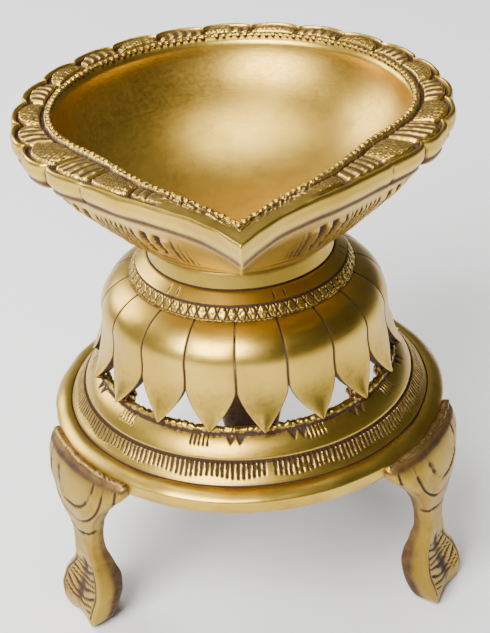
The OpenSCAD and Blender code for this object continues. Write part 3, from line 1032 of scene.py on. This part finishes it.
@dataclass
class Dome:
    """The lotus dome: a ring of separate curved petals hanging from a crown."""

    petals: int = 18
    first: float = 5.0
    crown: float = 27.6
    lip: float = 36.0
    flare: float = 2.8
    wall: float = 2.5
    gap: float = 9.2
    rows: int = 58
    columns: int = 24
    pegs: int = 6
    loose_lumps: tuple[float, ...] = (-37.0, 46.0)

    @property
    def pitch(self) -> float:
        """The angle that one petal takes."""
        return 360 / self.petals

    def skin(self) -> list[Point]:
        """The dome's outer curve from the collar down to the petals' tips."""
        height = DOME_TOP - LIP_TOP
        belly = (self.lip - 0.7, DOME_TOP - 0.4 * height)
        tip = (self.lip + self.flare, LIP_TOP)
        return chain(
            bend((self.crown, DOME_TOP), (self.crown + 3.8, DOME_TOP - 1.2),
                 (belly[0] + 0.2, belly[1] + 4.6), belly, 24),
            bend(belly, (belly[0] - 0.2, belly[1] - 4), (tip[0] - 2.6, tip[1] + 6.5), tip, 24))

    def petal(self) -> Work:
        """One petal that points at the spout's side, with its own thickness and rounded edges."""
        Work.clear()
        bpy.ops.mesh.primitive_grid_add(x_subdivisions=self.columns, y_subdivisions=self.rows, size=2)
        work = Work(bpy.context.object)
        u = work.co[:, 0] * MM
        v = (1 - work.co[:, 1] * MM) / 2
        u = np.sign(u) * np.abs(u) ** 0.8
        curve = np.array(even(self.skin(), 0.25))
        along = np.linspace(0, 1, len(curve))
        r = np.interp(v, along, curve[:, 0])
        z = np.interp(v, along, curve[:, 1])
        up = np.clip((z - LIP_TOP) / self.gap, 0, 1)
        half_gap = (math.pi * (self.lip + self.flare) / self.petals - 0.45) * (1 - up) ** 1.5
        half = np.maximum(math.pi * r / self.petals - 0.11 - half_gap, 0.3)
        x = u * half
        angle = x / r
        swell = 0.26 * np.cos(np.clip(u, -1, 1) * math.pi / 2) ** 0.7 * smooth(0.02, 0.25, v) - 0.22
        keel = 0.7 * np.exp(-((x / 1.2) ** 2)) * smooth(LIP_TOP + 6.0, LIP_TOP + 0.5, z)
        work.co = place(angle, r + swell + keel * 0.5, z)
        work.write()
        work.store("across", u)
        work.store("down", v)
        work.face_out()
        if (work.normals() * (work.co - np.array([0, AXIS_Y, LIP_TOP]))).sum() < 0:
            work.edit()
            bpy.ops.mesh.select_all(action="SELECT")
            bpy.ops.mesh.flip_normals()
            work.leave()
        work.modify("SOLIDIFY", thickness=self.wall * MM, offset=-1, use_even_offset=False, use_rim=True)
        work.modify("BEVEL", width=0.17 * MM, segments=2, limit_method="ANGLE", angle_limit=math.radians(50))
        return work

    def petal_ring(self) -> Work:
        """All the petals, each a little different as if filed by hand."""
        first = self.petal()
        parts = []
        dice = np.random.RandomState(5)
        for i in range(self.petals):
            leaf = first.copy(f"petal_{i}")
            z, low = leaf.co[:, 2], smooth(LIP_TOP + self.gap, LIP_TOP, leaf.co[:, 2])
            lean, curl = dice.uniform(-0.55, 0.55), dice.uniform(-0.5, 0.25)
            leaf.co[:, 0] += lean * low
            leaf.co[:, 1] -= curl * low**2
            leaf.co[:, 2] = z + dice.uniform(0.0, 0.35) * low
            leaf.co = swing(leaf.co, self.first + i * self.pitch)
            leaf.write()
            parts.append(leaf)
        bpy.data.objects.remove(first.obj)
        work = join("lotus_petals", parts)
        across, down = np.abs(work.stored("across")), work.stored("down")
        radius = reach(work.co)
        curve = np.array(even(self.skin(), 0.25))
        outer = np.interp(down, np.linspace(0, 1, len(curve)), curve[:, 0])
        # Painted shade: the petals' inner faces, inside the dome, are darkened, and more so on their loose
        # lower parts
        inside = smooth(0.9, 1.6, outer - radius)
        low = smooth(LIP_TOP + self.gap + 1, LIP_TOP + self.gap - 2, work.co[:, 2])
        # Patina on the petals' cut sides, which also paints the shade in the narrow grooves between the petals
        edge = smooth(0.955, 1.0, across)
        dirt_and_shade = edge * (0.75 + 0.1 * low) + inside * 0.55 + 0.55 * smooth(0.035, 0.0, down)
        dirt_and_shade = dirt_and_shade + inside * low * 0.35 + 0.12 * low * (grain(work.co, 1.6, 31) > 0.55)
        work.weather(np.clip(dirt_and_shade, 0, 1), 0.35, 1)
        work.smooth_shade(38)
        return work

    def crown_plate(self) -> Work:
        """The plate that closes the dome under the collar."""
        section = chain(
            [(7.6, DOME_TOP - 0.05), (7.6, DOME_TOP - 3.0)],
            even([(7.6, DOME_TOP - 3.0), (24.6, DOME_TOP - 3.0)], 1.5),
            bend((24.6, DOME_TOP - 3.0), (27.0, DOME_TOP - 3.2),
                 (28.6, DOME_TOP - 3.8), (29.4, DOME_TOP - 5.0), 8),
            [(30.4, DOME_TOP - 4.2), (29.6, DOME_TOP - 2.4), (28.0, DOME_TOP - 1.0), (26.6, DOME_TOP - 0.3)])
        work = turn("dome_crown", section, 120, 1)
        true_up(work, section)
        work.weather(0.5 + 0.2 * grain(work.co, 4, 33), 0.8)
        work.smooth_shade(40)
        return work

    def lumps(self, azimuths: Sequence[float]) -> Work:
        """The braze metal behind some petals' tips.

        Args:
            azimuths: The turns from the spout's side at which pegs stand.

        Returns:
            All the lumps as one piece.
        """
        low, high = (corner[2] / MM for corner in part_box("petal_pegs"))
        dice = np.random.RandomState(9)
        parts = []
        for i, azimuth in enumerate(azimuths):
            Work.clear()
            bpy.ops.mesh.primitive_ico_sphere_add(subdivisions=4, radius=1.0 * MM)
            lump = Work(bpy.context.object)
            lump.obj.name = f"lump_{i}"
            shape = lump.co.copy()
            shape *= (1 + 0.22 * grain(shape * 3 + 7 * i, 3.2, 40 + i))[:, None]
            tall = (high - low) / 2 * dice.uniform(0.9, 1.0)
            wide = dice.uniform(1.5, 2.3)
            shape *= np.array([wide, 1.35, tall])
            shape[:, 0] *= 1 + 0.25 * shape[:, 2] / tall
            lump.co = swing(shape, azimuth, self.lip - 0.9)
            lump.co[:, 2] = np.clip(lump.co[:, 2] + (low + high) / 2, low, high + 0.4)
            lump.write()
            parts.append(lump)
        work = join("petal_braze", parts)
        work.weather(0.45 + 0.35 * grain(work.co, 1.4, 35), 1.6, 1)
        work.smooth_shade()
        return work

    def build(self, shop: Shop) -> None:
        """Builds and dresses the dome's pieces."""
        shop.dress(self.petal_ring(), SATIN_BRASS, "stand", "lotus_dome")
        shop.dress(self.crown_plate(), SATIN_BRASS, "stand")
        pegs = [self.first + k * 360 / self.pegs for k in range(self.pegs)]
        shop.dress(self.lumps([*pegs, *self.loose_lumps]), BRAZE, "stand", "petal_pegs")


# ---- Base ring ----


@dataclass
class Ring:
    """The stepped base ring with its chased bands."""

    radius: float = 48.6
    height: float = 15.9
    width: float = 12.6
    wall: float = 2.8
    bead: float = 1.1
    strokes: int = 214
    stroke_groups: tuple[float, ...] = (-171, -132, -92, -50, -19, 23, 60, 98, 139)
    triangle_pairs: tuple[float, ...] = (-152, -111, -72, -6, 16.5, 42, 79, 118, 160)

    def build(self, shop: Shop) -> None:
        """Builds and dresses the ring."""
        low = LIP_TOP - self.height
        mid_r = self.radius - self.width
        crease = (self.radius + 0.5, low + 0.22 * self.height)
        groove = (self.radius - 3.4, low + 0.32 * self.height)
        step = (self.radius - 6.9, low + 0.58 * self.height)
        lip_foot = (mid_r + self.bead, LIP_TOP - 1.7 * self.bead)
        side = even([(self.radius, low + 0.3), (crease[0], crease[1] - 0.35)], 0.7)
        swell = even(bend(crease, (crease[0] - 0.5, crease[1] + 0.8),
                          (groove[0] + 1.4, groove[1] + 0.5), groove, 20), 0.4)
        line_1 = [(groove[0] - 0.12, groove[1] - 0.42), (groove[0] - 0.34, groove[1] + 0.02)]
        start = (groove[0] - 0.45, groove[1] + 0.42)
        band = even(bend(start, (groove[0] - 1.7, groove[1] + 1.3),
                         (step[0] + 0.9, step[1] - 1.6), step, 20), 0.24)
        line_2 = [(step[0] - 0.5, step[1] - 0.15), (step[0] - 0.85, step[1] + 0.25)]
        cove = even(bend((step[0] - 0.75, step[1] + 0.75), (step[0] - 1.6, step[1] + 2.3),
                         (lip_foot[0] + 1.9, lip_foot[1] - 1.0), lip_foot, 20), 0.38)
        lip = [(mid_r + self.bead * math.cos(a), LIP_TOP - self.bead + self.bead * math.sin(a))
               for a in np.radians(np.arange(-20, 181, 20))]
        inner = self.radius - self.wall
        under = even([(mid_r - self.bead, lip_foot[1] - self.wall),
                      (step[0] - 0.9 * self.wall, step[1] - 0.5 * self.wall),
                      (groove[0] - 0.4 * self.wall, groove[1] - self.wall),
                      (inner, groove[1] - self.wall), (inner, low + 0.3)], 3.0)
        close = [(inner + 0.3, low), (self.radius - 0.3, low)]
        skin = chain(side, swell, line_1, band, line_2, cove, lip)
        section = skin + under + close
        work = turn("base_ring_chased", section, 240, 4)
        row, turn_deg = true_up(work, section)
        at = {name: skin.index(curve[0]) for name, curve in
              (("line_1", line_1), ("band", band), ("line_2", line_2), ("cove", cove), ("lip", lip))}
        end = len(skin) - 1
        lift, dirt_and_shade = self.strokes_cut(row, turn_deg, at)
        more, stain = self.cove_marks(row, turn_deg, at, work.co)
        on_lip = (row >= at["lip"]) & (row <= end)
        rough = grain(work.co, 1.5, 51)
        lip_low = smooth(-2.2, -0.3, row - at["lip"]) * smooth(3.5, 1, row - at["lip"])
        wave = 0.10 * grain(work.co, 14, 52) * (row > 0) * (row < at["line_1"])
        nicks = on_lip * (0.16 * rough - 0.05)
        work.sculpt(lift + more + wave + nicks - 0.12 * lip_low * (1 + rough))
        lines = ((row >= at["line_1"]) & (row < at["band"])) * 0.9
        broad = ((row >= at["line_2"] - 0.5) & (row < at["cove"])) * (0.85 + 0.2 * rough)
        base = smooth(2.0, 0.0, row) * 0.25 * (row <= 4)
        # Painted shade: the ring's underside and inner wall are darkened
        shade_underneath = (row > end) * 0.6
        grime = lip_low * (0.65 + 0.5 * rough) + on_lip * np.clip(0.28 + 0.5 * rough, 0, 1)
        work.weather(np.clip(dirt_and_shade + stain + lines + broad + grime + base + shade_underneath, 0, 1), 0.8, 1)
        work.smooth_shade(55)
        shop.dress(work, CHASED_BRASS, "stand", "base_ring")

    def strokes_cut(self, row: Array, turn_deg: Array, at: dict[str, int]) -> tuple[Array, Array]:
        """The band of leaf-shaped strokes that end in dots.

        Args:
            row: Each point's row.
            turn_deg: Each point's turn from the spout.
            at: The rows at which the bands start.

        Returns:
            How far each point moves outwards, and its patina.
        """
        v = np.clip((at["line_2"] - row) / (at["line_2"] - at["band"]), 0, 1)
        on = (row >= at["band"]) & (row <= at["line_2"])
        phase = turn_deg * self.strokes / 360
        number = np.round(phase)
        jitter = 0.12 * np.sin(number * 7.3) + 0.08 * np.sin(number * 3.1)
        x = phase - number + jitter * 0.5
        length = 0.60 + 0.07 * np.sin(number * 5.7)
        blade = smooth(0.40 - 0.30 * v, 0.20 - 0.18 * v, np.abs(x)) * smooth(length, length - 0.12, v)
        dot = smooth(0.27, 0.12, np.hypot(x, (v - length) * 2.4))
        plain = smooth(1.3, 0.7, np.abs(turn_deg - 4.6))
        faint = 0.55 + 0.45 * smooth(-0.6, 0.3, np.sin(np.radians(turn_deg * 2 + 40)))
        cut = np.clip(np.maximum(blade, dot), 0, 1) * on * (1 - plain) * faint
        foot = ridge(v - 0.98, 0.10) * on
        return -0.32 * cut - 0.1 * foot + 0.06 * on * (1 - cut), cut * 0.85 + foot * 0.35

    def cove_marks(self, row: Array, turn_deg: Array, at: dict[str, int], co: Array) -> tuple[Array, Array]:
        """Groups of five drop-ended strokes, and pairs of small triangles between them.

        Args:
            row: Each point's row.
            turn_deg: Each point's turn from the spout.
            at: The rows at which the bands start.
            co: The points, for the roughness.

        Returns:
            How far each point moves outwards, and its patina.
        """
        v = np.clip((at["lip"] - row) / (at["lip"] - at["cove"]), 0, 1)
        on = (row >= at["cove"]) & (row <= at["lip"])
        cut = np.zeros(len(row))
        for middle in self.stroke_groups:
            away = (turn_deg - middle + 180) % 360 - 180
            x = away / 1.55
            number = np.clip(np.round(x), -2, 2)
            off = (x - number)
            stem = smooth(0.17, 0.07, np.abs(off)) * smooth(0.50, 0.42, v) * smooth(0.02, 0.08, v)
            drop = smooth(0.32, 0.14, np.hypot(off, (v - 0.47) * 4.5))
            cut = np.maximum(cut, np.maximum(stem, drop) * (np.abs(x) < 2.6))
        for middle in self.triangle_pairs:
            away = (turn_deg - middle + 180) % 360 - 180
            x = away / 3.4
            number = np.where(x < 0, -0.5, 0.5)
            off = np.abs(x - number)
            tri = smooth(0.06, -0.04, off - 0.42 * (0.44 - v) / 0.34)
            tri = tri * smooth(0.07, 0.13, v) * smooth(0.46, 0.42, v)
            cut = np.maximum(cut, tri * (np.abs(x) < 1.05) * 0.9)
        cut = cut * on
        smear = 0.22 * on * smooth(0.35, 0.0, v) * (grain(co, 2.4, 55) > 0.1)
        return -0.30 * cut, cut * 0.85 + smear


# ---- Legs ----


@dataclass
class Leg:
    """A cabriole leg: broad shoulder, thin ankle and a spread, hollowed foot."""

    ring: float = 48.6
    top: float = 45.0
    shoulder: float = 33.0
    ankle: float = 7.6
    foot: float = 16.5
    thick: float = 4.8
    knee: float = 5.4
    toe: float = 7.4
    seam: float = 3.0
    around: int = 176
    up: int = 150
    azimuths: tuple[float, ...] = (-57.0, 58.0, 180.0)
    foot_twist: float = 2.6
    ankle_twist: float = 1.3
    side_power: float = 0.42
    face_power: float = 0.34
    foot_hollow: float = 2.0
    knee_swell: float = 0.9

    def side_curves(self) -> tuple[Array, Array]:
        """The leg's front and back seen from the side, as radius against height."""
        knee = (self.ring + self.knee, self.top - 8)
        ankle = (self.ring + 2, 0.56 * self.top)
        toe = (self.ring + self.toe, 5.3)
        heel = (self.ring - 3.8, 12.2)
        sole = (toe[0] - 6.4, toe[0] - 1.6)
        shin, calf = ((ankle[0] + side * self.thick / 2, ankle[1]) for side in (1, -1))
        back_knee = (knee[0] - self.thick - 1, knee[1])
        front = chain(
            bend((sole[1], 0.0), (toe[0] - 0.3, 0.5), (toe[0], toe[1] - 2.6), toe, 12),
            bend(toe, (toe[0] - 1.4, toe[1] + 5), (shin[0] - 0.2, shin[1] - 6), shin, 24),
            bend(shin, (shin[0] - 0.2, shin[1] + 5), (knee[0] - 0.3, knee[1] - 6), knee, 24),
            bend(knee, (knee[0] + 0.2, knee[1] + 5), (knee[0] - 1.4, self.top + 2.2),
                 (self.ring + 2.4, self.top + self.seam), 20))
        back = chain(
            bend((sole[0], 0.0), (sole[0] - 3, 1.2), (heel[0] - 0.1, heel[1] - 5), heel, 12),
            bend(heel, (heel[0] + 0.2, heel[1] + 5), (calf[0] - 0.8, calf[1] - 5), calf, 24),
            bend(calf, (calf[0] + 0.6, calf[1] + 5), (back_knee[0] + 0.3, back_knee[1] - 5), back_knee, 24),
            bend(back_knee, (back_knee[0] - 0.2, back_knee[1] + 4), (self.ring - 2.6, self.top - 1.2),
                 (self.ring - 2.6, self.top), 12),
            [(self.ring - 2.0, self.top + self.seam)])
        return np.array(front), np.array(back)

    def outline(self) -> Array:
        """Half the leg's width seen from the front, as width against height."""
        shoulder, waist, spread = self.shoulder / 2, self.ankle / 2, self.foot / 2
        knee_z, ankle_z = self.top - 8, 0.56 * self.top
        return np.array(chain(
            bend((spread * 0.5, 0.0), (spread * 0.92, 0.4), (spread + 0.2, 4.6), (spread, 9.5), 16),
            bend((spread, 9.5), (spread - 0.4, 14), (waist + 0.2, 17), (waist, ankle_z - 1), 20),
            bend((waist, ankle_z - 1), (waist, ankle_z + 4.5), (shoulder / 2, knee_z + 1),
                 (shoulder - 0.8, self.top - 0.6), 24),
            [(shoulder, self.top + self.seam)]))

    def one(self) -> Work:
        """One leg that stands on the spout's side."""
        Work.clear()
        bpy.ops.mesh.primitive_cylinder_add(vertices=self.around, radius=1 * MM, depth=2 * MM,
                                            end_fill_type="TRIFAN")
        work = Work(bpy.context.object)
        pair = work.edges()
        work.cut_edges(np.abs(work.co[pair[:, 0], 2] - work.co[pair[:, 1], 2]) > 1, self.up)
        z = (work.co[:, 2] + 1) / 2 * (self.top + self.seam)
        rim = np.hypot(work.co[:, 0], work.co[:, 1])
        angle = np.arctan2(work.co[:, 1], work.co[:, 0])
        front, back = self.side_curves()
        outline = self.outline()
        ahead = np.interp(z, front[:, 1], front[:, 0])
        behind = np.interp(z, back[:, 1], back[:, 0])
        half = np.interp(z, outline[:, 1], outline[:, 0])
        c, s = np.cos(angle), np.sin(angle)
        x = np.sign(c) * np.abs(c) ** self.side_power
        depth = np.sign(-s) * np.abs(s) ** self.face_power
        mid, thick = (ahead + behind) / 2, (ahead - behind) / 2
        low = smooth(0.52 * self.top, 0.30 * self.top, z)
        high = smooth(0.60 * self.top, 0.85 * self.top, z)
        crown = (-self.foot_hollow * low + self.knee_swell * high * 0.5) * (1 - x * x) * (depth > 0)
        radius = mid + (thick * depth + crown * np.abs(depth)) * rim
        radius = np.where(rim < 0.01, mid, radius)
        work.co = place(x * half * rim / self.ring, radius, z)
        work.write()
        work.tidy()
        z = work.co[:, 2]
        radius = reach(work.co)
        width = bearing(work.co) * self.ring
        half = np.interp(z, outline[:, 1], outline[:, 0])
        mid = (np.interp(z, front[:, 1], front[:, 0]) + np.interp(z, back[:, 1], back[:, 0])) / 2
        x = width / np.maximum(half, 0.1)
        face = smooth(0.2, 1.0, radius - mid)
        lift, dirt_and_shade = self.engraving(x, z, face, half)
        rough = grain(work.co, 5.5, 61)
        work.sculpt(lift + 0.10 * rough * smooth(1.0, 3.0, z) * smooth(self.top, self.top - 4, z))
        seam = smooth(self.top + 1.0, self.top + 2.4, z)
        # Painted shade: the leg's inner side, towards the stand's axis, is darkened, more so low down
        inner = smooth(0.4, -0.8, radius - mid) * (0.35 + 0.3 * smooth(24, 10, z))
        work.weather(np.clip(dirt_and_shade + seam * 0.85 + inner + 0.12 * (rough > 0.6), 0, 1), 0.9)
        work.smooth_shade()
        return work

    def engraving(self, x: Array, z: Array, face: Array, half: Array) -> tuple[Array, Array]:
        """Nested leaf lines on the shoulder and slanting strokes on the foot.

        Args:
            x: Each point's share of the way to the leg's edge.
            z: Each point's height.
            face: How much each point belongs to the front.
            half: The leg's half width there.

        Returns:
            How far each point moves outwards, and its patina.
        """
        cut = np.zeros(len(x))
        across = x * half
        for wide, tall, side in ((14.6, 17.5, 0.0), (10.8, 13.4, 0.6), (7.0, 9.0, 1.3)):
            off, down = across - side, self.top + 2.0 - z
            away = np.hypot(off, down)
            share = np.sqrt((off / wide) ** 2 + (down / tall) ** 2 + 1e-6)
            line = smooth(0.46, 0.10, np.abs(away - away / share)) * smooth(47.3, 45.8, z)
            broken = smooth(-0.75, -0.35, np.sin(np.arctan2(off, down) * 4 + wide))
            cut = np.maximum(cut, line * (0.35 + 0.65 * broken) * face)
        slope = z - 0.55 * np.abs(across)
        stroke = np.abs(((slope + 0.4 * np.sin(z)) / 2.1 % 1) - 0.5) * 2
        on_foot = (smooth(20, 17, z) * smooth(3.5, 5.5, z)
                   * smooth(0.82, 0.66, np.abs(x)) * smooth(0.10, 0.22, np.abs(x)))
        cut = np.maximum(cut, smooth(0.62, 0.86, stroke) * on_foot)
        vein = smooth(0.55, 0.2, np.abs(across - 0.4 * np.sin(z * 0.35)))
        vein = vein * smooth(22, 19, z) * smooth(2.5, 5, z)
        cut = np.maximum(cut, vein * 0.8)
        border = smooth(0.5, 0.15, np.abs(np.abs(across) - (half - 1.5)))
        border = border * smooth(21, 18, z) * smooth(2.0, 5.0, z)
        cut = np.maximum(cut, border * 0.55) * face
        return -0.34 * cut, cut * 0.85

    def build(self, shop: Shop) -> None:
        """Builds and dresses the three legs and the braze round their tops."""
        first = self.one()
        for azimuth, node in zip(self.azimuths, ("leg_left", "leg_right", "leg_rear")):
            leg = first.copy(f"{node}_cast")
            z = leg.co[:, 2]
            at_ankle = smooth(10, 22, z) * smooth(38, 27, z)
            twist = self.foot_twist * smooth(19, 4, z) - self.ankle_twist * at_ankle
            leg.co = swing(leg.co, azimuth + twist * np.sign(azimuth) * (abs(azimuth) < 90))
            leg.write()
            shop.dress(leg, CAST_BRASS, "stand", node)
        bpy.data.objects.remove(first.obj)
        shop.dress(self.braze(), BRAZE, "stand", "leg_braze")

    def braze(self) -> Work:
        """The lumpy seams of braze where the legs meet the ring."""
        parts = []
        sweep = math.degrees(self.shoulder / self.ring) - 1.5
        for i, azimuth in enumerate(self.azimuths):
            a = np.radians(np.arange(0, 360, 24))
            section = [(self.ring + 1.3 + 0.85 * math.cos(k), self.top + self.seam + 0.05 + 0.6 * math.sin(k))
                       for k in a]
            seam = turn(f"seam_{i}", section, 90, 0, sweep=sweep, start=azimuth - sweep / 2)
            rough = grain(seam.co, 5.0, 70 + i) * 0.14 + grain(seam.co, 1.3, 80 + i) * 0.06
            seam.sculpt(rough)
            parts.append(seam)
        work = join("leg_braze_seams", parts)
        work.weather(0.40 + 0.35 * grain(work.co, 1.2, 90), 1.4, 1)
        work.smooth_shade()
        return work


# ---- Room ----


@dataclass
class Studio:
    """The floor, the soft lights and the camera."""

    lens: float = 99.716
    pitch: float = 30.8136
    roll: float = 3.5739
    back: float = 373.9
    height: float = 292.24
    floor_side: float = 6.0
    world_dark: float = 0.10
    world_left: float = 0.30

    def camera(self) -> None:
        """Places the camera."""
        data = bpy.data.cameras.new("camera")
        data.lens, data.sensor_width = self.lens, 36
        data.clip_start = 0.01
        camera = bpy.data.objects.new("camera", data)
        bpy.context.collection.objects.link(camera)
        spot = Matrix.Translation((0, (AXIS_Y - self.back) * MM, self.height * MM))
        tilt = Matrix.Rotation(math.pi / 2 - math.radians(self.pitch), 4, "X")
        camera.matrix_world = spot @ tilt @ Matrix.Rotation(-math.radians(self.roll), 4, "Z")
        bpy.context.scene.camera = camera

    def softbox(self, name: str, spot: tuple[float, float, float], size: float, power: float) -> None:
        """Adds one square soft light that faces the lamp.

        Args:
            name: The light's name.
            spot: Where it stands, in metres.
            size: Its side, in metres.
            power: Its power in watts.
        """
        data = bpy.data.lights.new(name, "AREA")
        data.shape, data.size, data.size_y = "RECTANGLE", size, size
        data.energy = power
        light = bpy.data.objects.new(name, data)
        light.location = spot
        light.rotation_euler = (Vector(LAMP_MIDDLE) - Vector(spot)).to_track_quat("-Z", "Y").to_euler()
        bpy.context.collection.objects.link(light)

    def floor(self) -> None:
        """Lays a pale floor."""
        Work.clear()
        bpy.ops.mesh.primitive_plane_add(size=self.floor_side)
        floor = bpy.context.object
        floor.name = "floor"
        material = bpy.data.materials.new("floor_paper")
        material.use_nodes = True
        shader = material.node_tree.nodes["Principled BSDF"]
        shader.inputs["Base Color"].default_value = (0.92, 0.92, 0.91, 1)
        shader.inputs["Roughness"].default_value = 0.7
        floor.data.materials.append(material)

    def build(self) -> None:
        """Sets up the room."""
        self.camera()
        self.floor()
        world = bpy.data.worlds.new("studio")
        world.use_nodes = True
        tree = world.node_tree
        tree.nodes["Background"].inputs["Color"].default_value = (1, 1, 1, 1)
        way = tree.nodes.new("ShaderNodeTexCoord")
        split = tree.nodes.new("ShaderNodeSeparateXYZ")
        tree.links.new(way.outputs["Generated"], split.inputs[0])
        to_left = Sock(tree, split.outputs[0]).step(0.55, -0.75)
        strength = to_left * self.world_left + self.world_dark
        tree.links.new(strength.socket, tree.nodes["Background"].inputs["Strength"])
        bpy.context.scene.world = world
        self.softbox("key", (-0.50, -0.80, 0.95), 0.75, 38.0)
        self.softbox("back", (-0.75, 0.60, 0.55), 0.5, 8.0)
        self.softbox("top", (-0.1, 0.25, 1.4), 0.8, 14.0)


def main() -> None:
    """Builds the lamp from its sub-assemblies, and the room round it."""
    logging.basicConfig(level=logging.INFO, format="%(message)s")
    shop = Shop()
    Studio().build()
    Ring().build(shop)
    Leg().build(shop)
    Dome().build(shop)
    Collar().build(shop)
    Screw().build(shop)
    Bowl().build(shop)


if __name__ == "__main__":
    main()
